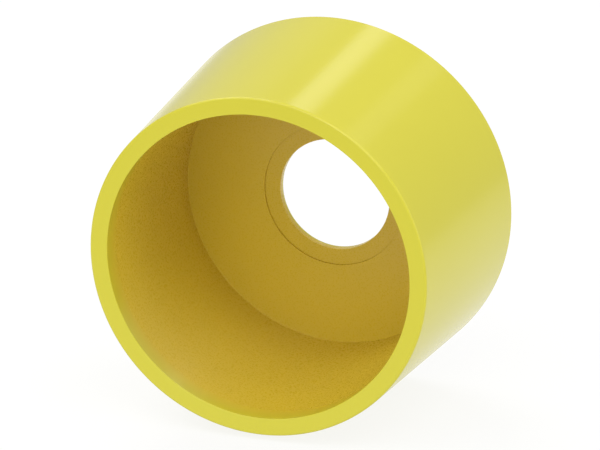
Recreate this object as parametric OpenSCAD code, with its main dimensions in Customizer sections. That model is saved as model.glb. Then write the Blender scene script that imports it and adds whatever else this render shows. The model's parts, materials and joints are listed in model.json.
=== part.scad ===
// Protective collar that stands round the head of an emergency-stop pushbutton.
// It is a drafted cup moulded in one piece, with a hole for the actuator in its base.
// The axis lies along Y: the panel face is at y = 0 and the open rim points to -Y, with Z up.

/* [Collar wall] */
// Length of the collar from the panel face to the rim
collar_len = 45; // [25:0.5:80]
// Outer diameter at the rim
rim_outer_d = 69.1; // [64:0.1:90]
// Inner diameter at the rim
rim_inner_d = 62.1; // [50:0.1:63]
// Draft of the outer wall, which widens towards the panel (degrees)
outer_draft = 1.5; // [0.5:0.1:3]
// Draft of the inner wall, which narrows towards the base (degrees)
inner_draft = 1.35; // [0.5:0.1:3]
// Radius of the outer edge of the rim
rim_round = 0.4; // [0.2:0.05:1]
// Radius of the outer edge at the panel face
foot_round = 0.25; // [0.1:0.05:0.8]

/* [Base and hole] */
// Thickness of the base
base_t = 2.15; // [1.5:0.05:5]
// Diameter of the hole that the actuator passes through
hole_d = 22.4; // [16.2:0.1:30.5]
// Width of the ring that the actuator's bezel sits on, round the hole
seat_w = 3.1; // [1.5:0.1:5]
// Depth of that ring below the floor of the cup
seat_depth = 0.4; // [0.1:0.05:0.8]
// Radius of the corner between the floor and the wall
floor_fillet = 0.1; // [0.05:0.05:1]

/* [Panel seal] */
// Gap in plan between the edge of the bezel seat and the seal's groove
seal_offset = 2.7; // [1:0.1:5]
// Width of the seal
seal_w = 3; // [1.5:0.1:5]
// Thickness of the seal as pressed flat by the panel, which is the groove's depth
seal_t = 0.9; // [0.5:0.05:1.2]
// Gap beside the seal in its groove, on each side
seal_gap = 0.15; // [0.05:0.05:0.3]
// Radius of the seal's two front corners
seal_round = 0.2; // [0.1:0.05:0.4]

/* [Hidden] */
$fn = 128;
rim_outer_r = rim_outer_d / 2;
rim_inner_r = rim_inner_d / 2;
foot_r = rim_outer_r + collar_len * tan(outer_draft);
cup_depth = collar_len - base_t;
floor_r = rim_inner_r - cup_depth * tan(inner_draft);
hole_r = hole_d / 2;
seat_r = hole_r + seat_w;
groove_in_r = seat_r + seal_offset;
groove_out_r = groove_in_r + seal_w + 2 * seal_gap;
seal_in_r = groove_in_r + seal_gap;
seal_out_r = seal_in_r + seal_w;
// A cutting body runs this far past the face that it cuts
cut = 1;

// Distance from a corner to where a round of radius r meets its sides,
// for a corner whose inside angle is a right angle plus lean
function tangent_len(r, lean) = r / tan((90 + lean) / 2);

// Turns a half section, drawn as radius across and distance from the panel face up,
// into a body of revolution about the Y axis
module turned_about_y() {
    rotate([90, 0, 0])
        rotate_extrude()
            children();
}

// Outer half section: the whole cup filled solid, with the rim and foot edges rounded
module cup_outside() {
    rim_t = tangent_len(rim_round, outer_draft);
    foot_t = tangent_len(foot_round, -outer_draft);
    polygon([
        [0, 0],
        [foot_r - foot_t, 0],
        [foot_r - foot_t * sin(outer_draft), foot_t * cos(outer_draft)],
        [rim_outer_r + rim_t * sin(outer_draft), collar_len - rim_t * cos(outer_draft)],
        [rim_outer_r - rim_t, collar_len],
        [0, collar_len]
    ]);
    translate([foot_r - foot_t, foot_round])
        circle(r = foot_round);
    translate([rim_outer_r - rim_t, collar_len - rim_round])
        circle(r = rim_round);
}

// Inner half section: the hollow of the cup, with its floor corner rounded
module cup_hollow() {
    fillet_t = tangent_len(floor_fillet, inner_draft);
    polygon([
        [0, base_t],
        [floor_r - fillet_t, base_t],
        [floor_r + fillet_t * sin(inner_draft), base_t + fillet_t * cos(inner_draft)],
        [rim_inner_r + cut * tan(inner_draft), collar_len + cut],
        [0, collar_len + cut]
    ]);
    translate([floor_r - fillet_t, base_t + floor_fillet])
        circle(r = floor_fillet);
}

// The moulded collar
module collar() {
    color([0.85, 0.82, 0.31])
        turned_about_y()
            difference() {
                cup_outside();
                cup_hollow();
                translate([0, -cut])
                    square([hole_r, base_t + 2 * cut]);
                translate([0, base_t - seat_depth])
                    square([seat_r, seat_depth + cut]);
                translate([groove_in_r, -cut])
                    square([groove_out_r - groove_in_r, seal_t + cut]);
            }
}

// Flat rubber ring that lies in the groove of the panel face and seals the hole
module panel_seal() {
    color([0.09, 0.09, 0.1])
        turned_about_y()
            union() {
                translate([seal_in_r, 0])
                    square([seal_w, seal_t - seal_round]);
                translate([seal_in_r + seal_round, 0])
                    square([seal_w - 2 * seal_round, seal_t]);
                for (r = [seal_in_r + seal_round, seal_out_r - seal_round])
                    translate([r, seal_t - seal_round])
                        circle(r = seal_round);
            }
}

collar();
panel_seal();
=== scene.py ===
# Protective collar for an emergency stop button: the looks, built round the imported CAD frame.
import json
import math
import bmesh
import bpy
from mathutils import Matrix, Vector


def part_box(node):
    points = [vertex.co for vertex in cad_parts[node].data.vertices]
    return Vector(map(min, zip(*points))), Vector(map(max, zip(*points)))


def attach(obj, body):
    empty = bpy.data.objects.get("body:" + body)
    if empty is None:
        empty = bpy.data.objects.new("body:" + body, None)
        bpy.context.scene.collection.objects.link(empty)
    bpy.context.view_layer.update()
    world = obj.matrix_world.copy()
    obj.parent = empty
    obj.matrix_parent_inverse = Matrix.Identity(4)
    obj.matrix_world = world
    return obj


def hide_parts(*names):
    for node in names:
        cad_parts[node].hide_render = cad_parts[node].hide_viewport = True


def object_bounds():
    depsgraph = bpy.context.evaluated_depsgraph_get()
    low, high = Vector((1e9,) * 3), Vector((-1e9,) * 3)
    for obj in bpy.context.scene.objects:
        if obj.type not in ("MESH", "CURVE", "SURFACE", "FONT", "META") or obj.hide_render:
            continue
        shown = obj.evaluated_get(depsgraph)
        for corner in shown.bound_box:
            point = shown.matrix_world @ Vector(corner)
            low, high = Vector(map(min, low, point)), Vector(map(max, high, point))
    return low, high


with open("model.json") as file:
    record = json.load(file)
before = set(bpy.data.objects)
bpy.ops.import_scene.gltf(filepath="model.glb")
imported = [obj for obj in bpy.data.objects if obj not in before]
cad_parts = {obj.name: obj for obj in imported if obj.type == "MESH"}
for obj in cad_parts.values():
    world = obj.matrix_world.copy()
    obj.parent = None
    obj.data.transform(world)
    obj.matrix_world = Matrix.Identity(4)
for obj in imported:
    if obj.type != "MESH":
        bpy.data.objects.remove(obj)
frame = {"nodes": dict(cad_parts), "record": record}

mm = 0.001
slack = 0.002 * mm  # how far a ring or a vertex may be from the place that it is looked for
smoothAngle = 50  # edges sharper than this, in degrees, stay crisp
faceWeight = 100  # how strongly large faces pull the shading flat
cadLow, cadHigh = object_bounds()


def toLinear(hexColour):
    # a hex colour as seen on a screen, turned to the linear values that shader sockets want
    channels = [int(hexColour[i:i + 2], 16) / 255 for i in (1, 3, 5)]
    return [c / 12.92 if c <= 0.04045 else ((c + 0.055) / 1.055) ** 2.4 for c in channels] + [1.0]


def addNode(tree, kind, settings={}, links={}):
    # one node: settings name its properties or input values, links name what feeds an input
    node = tree.nodes.new(kind)
    for name, value in settings.items():
        if name not in node.inputs:
            setattr(node, name, value)
    inputs = {socket.name: socket for socket in reversed(node.inputs) if socket.enabled}
    for name, value in settings.items():
        if name in inputs:
            inputs[name].default_value = value
    for name, source in links.items():
        tree.links.new(source, inputs[name])
    return node


def newMaterial(name):
    # an empty node material with its output node
    material = bpy.data.materials.new(name)
    material.use_nodes = True
    material.node_tree.nodes.clear()
    return material, material.node_tree, addNode(material.node_tree, "ShaderNodeOutputMaterial")


# Reading the frame: every round piece is a half section turned about the Y axis, so each of
# its rings is a radius and a depth, which is the distance in front of the panel face

def ringsOf(nodeName):
    points = frame["nodes"][nodeName].data.vertices
    return sorted({(round(math.hypot(p.co.x, p.co.z), 6), round(-p.co.y, 6)) for p in points})


def ringBetween(rings, shallow, deep, widest=True):
    # the widest or narrowest ring between two depths
    found = [ring for ring in rings if shallow - slack <= ring[1] <= deep + slack]
    return max(found) if widest else min(found)


def alongWall(ringA, ringB, depth):
    # radius that the straight wall through two rings has at a depth
    slope = (ringB[0] - ringA[0]) / (ringB[1] - ringA[1])
    return ringA[0] + slope * (depth - ringA[1])


def mountNamed(name):
    return next(m for m in frame["record"]["mounts"] if m["name"] == name)


# Modelling helpers

def deselectAll():
    if bpy.context.object and bpy.context.object.mode != "OBJECT":
        bpy.ops.object.mode_set(mode="OBJECT")
    bpy.ops.object.select_all(action="DESELECT")


def turnedRing(name, section, segments):
    # a closed half section of (radius, depth) corners, turned about Y: one circle is extruded
    # from corner to corner, and the last ring is bridged to the first
    deselectAll()
    radius, depth = section[0]
    bpy.ops.mesh.primitive_circle_add(vertices=segments, radius=radius, fill_type="NOTHING",
                                      location=(0, -depth, 0), rotation=(math.pi / 2, 0, 0))
    piece = bpy.context.object
    piece.name = piece.data.name = name
    bpy.ops.object.transform_apply(location=True, rotation=True, scale=True)
    bpy.ops.object.mode_set(mode="EDIT")
    bpy.ops.mesh.select_all(action="SELECT")
    for nextRadius, nextDepth in section[1:]:
        bpy.ops.mesh.extrude_region_move()
        spread = nextRadius / radius
        bpy.ops.transform.resize(value=(spread, 1, spread), center_override=(0, -depth, 0))
        bpy.ops.transform.translate(value=(0, depth - nextDepth, 0))
        radius, depth = nextRadius, nextDepth
    selectEdges(piece, lambda a, b: len(a.link_edges) == 3 and len(b.link_edges) == 3)
    bpy.ops.mesh.bridge_edge_loops()
    bpy.ops.mesh.select_all(action="SELECT")
    bpy.ops.mesh.normals_make_consistent(inside=False)
    bpy.ops.object.mode_set(mode="OBJECT")
    return piece


def selectEdges(piece, wanted):
    # in edit mode, selects just the edges whose two ends pass the test
    bpy.ops.mesh.select_mode(type="EDGE")
    bpy.ops.mesh.select_all(action="DESELECT")
    mesh = bmesh.from_edit_mesh(piece.data)
    for edge in mesh.edges:
        if wanted(*edge.verts):
            edge.select_set(True)
    mesh.select_flush_mode()
    bmesh.update_edit_mesh(piece.data)


def roundRing(piece, radius, depth, size, segments):
    # rounds or fillets the edge loop at one corner of the section
    def onRing(vertex):
        return (abs(math.hypot(vertex.co.x, vertex.co.z) - radius) < slack
                and abs(vertex.co.y + depth) < slack)
    deselectAll()
    bpy.context.view_layer.objects.active = piece
    bpy.ops.object.mode_set(mode="EDIT")
    selectEdges(piece, lambda a, b: onRing(a) and onRing(b))
    bpy.ops.mesh.bevel(offset=size, offset_type="OFFSET", segments=segments, profile=0.5,
                       affect="EDGES", clamp_overlap=True)
    bpy.ops.object.mode_set(mode="OBJECT")


def finishPiece(piece, material, node):
    # smooth shading that keeps the flats flat and the steps crisp, then the ties to the frame
    deselectAll()
    piece.select_set(True)
    bpy.context.view_layer.objects.active = piece
    bpy.ops.object.shade_smooth_by_angle(angle=math.radians(smoothAngle))
    bpy.ops.object.modifier_add(type="WEIGHTED_NORMAL")
    piece.modifiers[-1].weight = faceWeight
    piece.modifiers[-1].keep_sharp = True
    bpy.ops.object.modifier_apply(modifier=piece.modifiers[-1].name)
    piece.data.materials.clear()
    piece.data.materials.append(material)
    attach(piece, "root")
    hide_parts(node)
    print("piece", piece.name, "faces", len(piece.data.polygons))


# The camera looks at the collar from the front, about 20 degrees round and 20 degrees above,
# in parallel projection

camera = {"azimuth": 20, "elevation": 20.2, "frameWidth": 115.83 * mm, "distance": 600 * mm,
          "aim": (0.04 * mm, -21.5 * mm, 0.5 * mm), "nearest": 1 * mm, "farthest": 10000 * mm}


def towards(azimuth, elevation):
    # the direction from the collar to something at these angles, in degrees
    turn, climb = math.radians(azimuth), math.radians(elevation)
    return Vector((math.sin(turn) * math.cos(climb), -math.cos(turn) * math.cos(climb), math.sin(climb)))


def makeCamera(settings):
    back = towards(settings["azimuth"], settings["elevation"])
    lens = bpy.data.cameras.new("camera")
    lens.type = "ORTHO"
    lens.ortho_scale = settings["frameWidth"]
    lens.clip_start, lens.clip_end = settings["nearest"], settings["farthest"]
    holder = bpy.data.objects.new("camera", lens)
    holder.location = Vector(settings["aim"]) + back * settings["distance"]
    holder.rotation_euler = (-back).to_track_quat("-Z", "Y").to_euler()
    bpy.context.scene.collection.objects.link(holder)
    bpy.context.scene.camera = holder


makeCamera(camera)
print("camera ready")


# Yellow ABS, injection moulded in a finely eroded tool: an even opaque colour, a satin gloss
# that turns pale at grazing angles, and a fine dry grain. The real grain is about 0.05 mm
# across, too fine to show, so it is drawn coarser. The inside, shaped on the core of the
# tool, is a little rougher, and its colour is painted warmer and deeper than the outside's:
# painted shade, standing in for the light that bounces between the yellow walls of the cup

# the third colour is painted shade for the inside of the cup, standing in for the light that bounces
# between its yellow walls
yellowAbs = {"colour": "#C8C036", "flowColour": "#C5BD32", "paintedShadeColour": "#D1B733", "flow": 22 * mm,
             "coreShadeBlend": 0.12 * mm, "coreShadeDepth": 1.0 * mm,
             "roughness": 0.17, "coreRoughness": 0.28, "roughnessSpread": 0.05, "ior": 1.5,
             "grain": 0.35 * mm, "grainHeight": 0.002 * mm, "noiseDetail": 2}


def makeYellowAbs(settings):
    material, tree, output = newMaterial("yellowAbsMoulded")
    place = addNode(tree, "ShaderNodeTexCoord").outputs["Object"]
    flow = addNode(tree, "ShaderNodeTexNoise", {"Scale": 1 / settings["flow"],
                                              "Detail": settings["noiseDetail"]},
                   {"Vector": place})
    outside = addNode(tree, "ShaderNodeMix",
                      {"data_type": "RGBA", "A": toLinear(settings["colour"]),
                       "B": toLinear(settings["flowColour"])},
                      {"Factor": flow.outputs["Fac"]})
    # the core side, rougher and painted in the deeper shade colour: nearer the axis than the rim's inner
    # edge, and in front of the panel face
    lipRadius = ringBetween(ringsOf("collar"), -cadLow.y, -cadLow.y, widest=False)[0]
    spoke = addNode(tree, "ShaderNodeVectorMath", {"operation": "MULTIPLY"}, {"Vector": place})
    spoke.inputs[1].default_value = (1, 0, 1)  # leaves out the distance along the axis
    radius = addNode(tree, "ShaderNodeVectorMath", {"operation": "LENGTH"},
                     {"Vector": spoke.outputs["Vector"]})
    inward = addNode(tree, "ShaderNodeMapRange",
                     {"From Min": lipRadius, "From Max": lipRadius - settings["coreShadeBlend"]},
                     {"Value": radius.outputs["Value"]})
    axes = addNode(tree, "ShaderNodeSeparateXYZ", {}, {"Vector": place})
    forward = addNode(tree, "ShaderNodeMapRange", {"From Min": 0.0, "From Max": -settings["coreShadeDepth"]},
                      {"Value": axes.outputs["Y"]})
    coreSideAndPaintedShade = addNode(tree, "ShaderNodeMath", {"operation": "MULTIPLY"})
    tree.links.new(inward.outputs["Result"], coreSideAndPaintedShade.inputs[0])
    tree.links.new(forward.outputs["Result"], coreSideAndPaintedShade.inputs[1])
    # painted shade: the inside is mixed towards a deeper, warmer yellow that stands in for light bounced
    # about in the cup
    tint = addNode(tree, "ShaderNodeMix", {"data_type": "RGBA", "B": toLinear(settings["paintedShadeColour"])},
                   {"Factor": coreSideAndPaintedShade.outputs["Value"], "A": outside.outputs["Result"]})
    grain = addNode(tree, "ShaderNodeTexNoise", {"Scale": 1 / settings["grain"],
                                                 "Detail": settings["noiseDetail"]},
                    {"Vector": place})
    polish = addNode(tree, "ShaderNodeMapRange",
                     {"To Min": settings["roughness"], "To Max": settings["coreRoughness"]},
                     {"Value": coreSideAndPaintedShade.outputs["Value"]})
    gloss = addNode(tree, "ShaderNodeMapRange",
                    {"To Min": -settings["roughnessSpread"], "To Max": settings["roughnessSpread"]},
                    {"Value": grain.outputs["Fac"]})
    roughness = addNode(tree, "ShaderNodeMath", {"operation": "ADD"})
    tree.links.new(polish.outputs["Result"], roughness.inputs[0])
    tree.links.new(gloss.outputs["Result"], roughness.inputs[1])
    bump = addNode(tree, "ShaderNodeBump", {"Distance": settings["grainHeight"]},
                   {"Height": grain.outputs["Fac"]})
    shader = addNode(tree, "ShaderNodeBsdfPrincipled", {"IOR": settings["ior"]},
                     {"Base Color": tint.outputs["Result"], "Roughness": roughness.outputs["Value"],
                      "Normal": bump.outputs["Normal"]})
    tree.links.new(shader.outputs["BSDF"], output.inputs["Surface"])
    return material


# The collar: one moulding. The corners of its section come from the frame, the small radii
# are set here

collar = {"segments": 256, "roundSegments": 5, "rimRound": 0.4 * mm, "lipRound": 0.12 * mm,
          "footRound": 0.25 * mm, "floorFillet": 0.1 * mm, "seatEdge": 0.04 * mm,
          "holeEdge": 0.1 * mm, "grooveEdge": 0.08 * mm, "play": 0.004 * mm}


def makeCollar(settings, material):
    rings = ringsOf("collar")
    length = -cadLow.y
    seatDepth = -mountNamed("bezel_seat")["pos_m"][1]
    seat = ringBetween(rings, seatDepth, seatDepth)
    hole = ringBetween(rings, seat[1], seat[1], widest=False)
    baseDepth = min(depth for radius, depth in rings if radius == seat[0] and depth > seat[1])
    grooveDepth = -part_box("panel_seal")[0].y
    grooveIn = ringBetween(rings, grooveDepth, grooveDepth, widest=False)
    grooveOut = ringBetween(rings, grooveDepth, grooveDepth)
    # each wall is a straight line between its two ends, drawn on to sharp corners
    footEnd = ringBetween(rings, settings["footRound"], length / 4)  # the foot's round ends there
    rimEnd = ringBetween(rings, length - settings["rimRound"], length)
    lip = ringBetween(rings, length, length, widest=False)
    floorEnd = min((ring for ring in rings if seat[0] < ring[0] < lip[0]
                    and ring[1] > baseDepth + settings["floorFillet"]), key=lambda ring: ring[1])
    # the outer wall lies a hair inside the CAD's, whose facets cut its corners
    foot = (alongWall(footEnd, rimEnd, 0) - settings["play"], 0)
    rim = (alongWall(footEnd, rimEnd, length) - settings["play"], length)
    floor = (alongWall(floorEnd, lip, baseDepth), baseDepth)
    section = [(hole[0], 0), (grooveIn[0], 0), grooveIn, grooveOut, (grooveOut[0], 0), foot, rim, lip,
               floor, (seat[0], baseDepth), seat, hole]
    piece = turnedRing("collarShell", section, settings["segments"])
    for corner, size in ((rim, "rimRound"), (lip, "lipRound"), (foot, "footRound"),
                         (floor, "floorFillet"), ((seat[0], baseDepth), "seatEdge"),
                         (section[0], "holeEdge"), (hole, "holeEdge"),
                         ((grooveIn[0], 0), "grooveEdge"), ((grooveOut[0], 0), "grooveEdge")):
        roundRing(piece, *corner, settings[size], settings["roundSegments"])
    finishPiece(piece, material, "collar")


makeCollar(collar, makeYellowAbs(yellowAbs))


# Black nitrile rubber, compression moulded: dull, slightly grey, with a faint dusty bloom

nitrile = {"colour": "#1E1E20", "bloomColour": "#2A2A2B", "bloom": 3 * mm, "roughness": 0.62,
           "ior": 1.52, "grain": 0.2 * mm, "grainHeight": 0.004 * mm, "bloomDetail": 4,
           "grainDetail": 2}


def makeNitrile(settings):
    material, tree, output = newMaterial("nitrileRubberMoulded")
    place = addNode(tree, "ShaderNodeTexCoord").outputs["Object"]
    bloom = addNode(tree, "ShaderNodeTexNoise", {"Scale": 1 / settings["bloom"],
                                                 "Detail": settings["bloomDetail"]},
                    {"Vector": place})
    tint = addNode(tree, "ShaderNodeMix", {"data_type": "RGBA", "A": toLinear(settings["colour"]),
                                           "B": toLinear(settings["bloomColour"])},
                   {"Factor": bloom.outputs["Fac"]})
    grain = addNode(tree, "ShaderNodeTexNoise", {"Scale": 1 / settings["grain"],
                                                 "Detail": settings["grainDetail"]},
                    {"Vector": place})
    bump = addNode(tree, "ShaderNodeBump", {"Distance": settings["grainHeight"]},
                   {"Height": grain.outputs["Fac"]})
    shader = addNode(tree, "ShaderNodeBsdfPrincipled",
                     {"IOR": settings["ior"], "Roughness": settings["roughness"]},
                     {"Base Color": tint.outputs["Result"], "Normal": bump.outputs["Normal"]})
    tree.links.new(shader.outputs["BSDF"], output.inputs["Surface"])
    return material


# The panel seal: a flat ring with two lips on the side that meets the panel

panelSeal = {"segments": 192, "roundSegments": 3, "lipWidth": 0.8 * mm, "lipHeight": 0.3 * mm,
             "cornerRound": 0.1 * mm}


def makePanelSeal(settings, material):
    rings = ringsOf("panel_seal")
    low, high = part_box("panel_seal")
    thickness, outerRadius = -low.y, high.x
    innerRadius = min(rings)[0]
    lip, channel = settings["lipWidth"], settings["lipHeight"]
    section = [(innerRadius, 0), (innerRadius + lip, 0), (innerRadius + lip + channel, channel),
               (outerRadius - lip - channel, channel), (outerRadius - lip, 0), (outerRadius, 0),
               (outerRadius, thickness), (innerRadius, thickness)]
    piece = turnedRing("panelSealRing", section, settings["segments"])
    for corner in section:
        roundRing(piece, *corner, settings["cornerRound"], settings["roundSegments"])
    finishPiece(piece, material, "panel_seal")


makePanelSeal(panelSeal, makeNitrile(nitrile))
print("pieces ready")


# A plain table of opal acrylic, lit from below as a light table is, so that the collar casts
# only a faint shadow on it. The collar's gloss doesn't see the table but a round plate just
# above it, which nothing else sees and whose glow fades outwards, so that the glossy flanks
# grade softly. The acrylic is dull, and it is white to the eye because it glows

stage = {"tableSize": 8000 * mm, "gap": 0.02 * mm, "colour": "#616160", "roughness": 0.9,
         "glow": 0.82, "plateRadius": 290 * mm, "plateSegments": 96,
         "plateCentre": (-60 * mm, 90 * mm), "plateFade": 100 * mm, "plateEdgeGlow": 0.34}


def makeOpalAcrylic(name, settings, fades):
    material, tree, output = newMaterial(name)
    shader = addNode(tree, "ShaderNodeBsdfPrincipled",
                     {"Base Color": toLinear(settings["colour"]), "Roughness": settings["roughness"],
                      "Emission Color": (1, 1, 1, 1), "Emission Strength": settings["glow"]})
    if fades:
        place = addNode(tree, "ShaderNodeTexCoord").outputs["Object"]
        radius = addNode(tree, "ShaderNodeVectorMath", {"operation": "LENGTH"}, {"Vector": place})
        fade = addNode(tree, "ShaderNodeMapRange",
                       {"From Min": settings["plateFade"], "From Max": settings["plateRadius"],
                        "To Min": settings["glow"], "To Max": settings["plateEdgeGlow"]},
                       {"Value": radius.outputs["Value"]})
        tree.links.new(fade.outputs["Result"], shader.inputs["Emission Strength"])
    tree.links.new(shader.outputs["BSDF"], output.inputs["Surface"])
    return material


def makeStage(settings):
    deselectAll()
    top = cadLow.z - settings["gap"]
    bpy.ops.mesh.primitive_plane_add(size=settings["tableSize"],
                                     location=(0, 0, top - settings["gap"]))
    table = bpy.context.object
    table.name = "table"
    table.visible_glossy = False
    bpy.ops.mesh.primitive_circle_add(vertices=settings["plateSegments"],
                                      radius=settings["plateRadius"], fill_type="NGON",
                                      location=(*settings["plateCentre"], top))
    plate = bpy.context.object
    plate.name = "tablePlate"
    plate.visible_camera = False
    plate.visible_diffuse = False
    plate.visible_shadow = False
    table.data.materials.append(makeOpalAcrylic("opalAcrylicTable", settings, False))
    plate.data.materials.append(makeOpalAcrylic("opalAcrylicPlate", settings, True))


makeStage(stage)


# Soft white light: an even sky, broad lamps high up in front and off the four corners, a weak
# one overhead, low ones that reach into the cup and along its flanks, and two narrow ones for
# the streak along the top. They are so far away that only their direction counts. Each is
# azimuth, elevation, strength and apparent width, all angles in degrees; azimuth 0 is in
# front of the collar and 90 on its right

light = {"sky": 0.5,
         "lamps": {"highFront": (0, 48, 0.6, 38), "highFrontRight": (45, 48, 0.7, 38),
                   "highFrontLeft": (315, 48, 0.6, 38), "highBackRight": (135, 48, 0.4, 38),
                   "highBackLeft": (225, 48, 0.95, 38), "overhead": (0, 90, 0.1, 38),
                   "lowRight": (90, 12, 0.7, 38), "lowFront": (0, 12, 0.5, 38),
                   "lowBackLeft": (210, 8, 0.03, 38),
                   "streak": (187, 29, 0.02, 8), "faintStreak": (165, 27, 0.005, 8)}}


def makeLight(settings):
    world = bpy.data.worlds.new("studio")
    bpy.context.scene.world = world
    world.use_nodes = True
    background = world.node_tree.nodes["Background"]
    background.inputs["Color"].default_value = (1, 1, 1, 1)
    background.inputs["Strength"].default_value = settings["sky"]
    for name, (azimuth, elevation, strength, width) in settings["lamps"].items():
        lamp = bpy.data.lights.new(name, "SUN")
        lamp.energy = strength
        lamp.angle = math.radians(width)
        holder = bpy.data.objects.new(name, lamp)
        holder.rotation_euler = (-towards(azimuth, elevation)).to_track_quat("-Z", "Y").to_euler()
        bpy.context.scene.collection.objects.link(holder)


makeLight(light)
bpy.context.scene.view_settings.view_transform = "Standard"
print("studio ready")
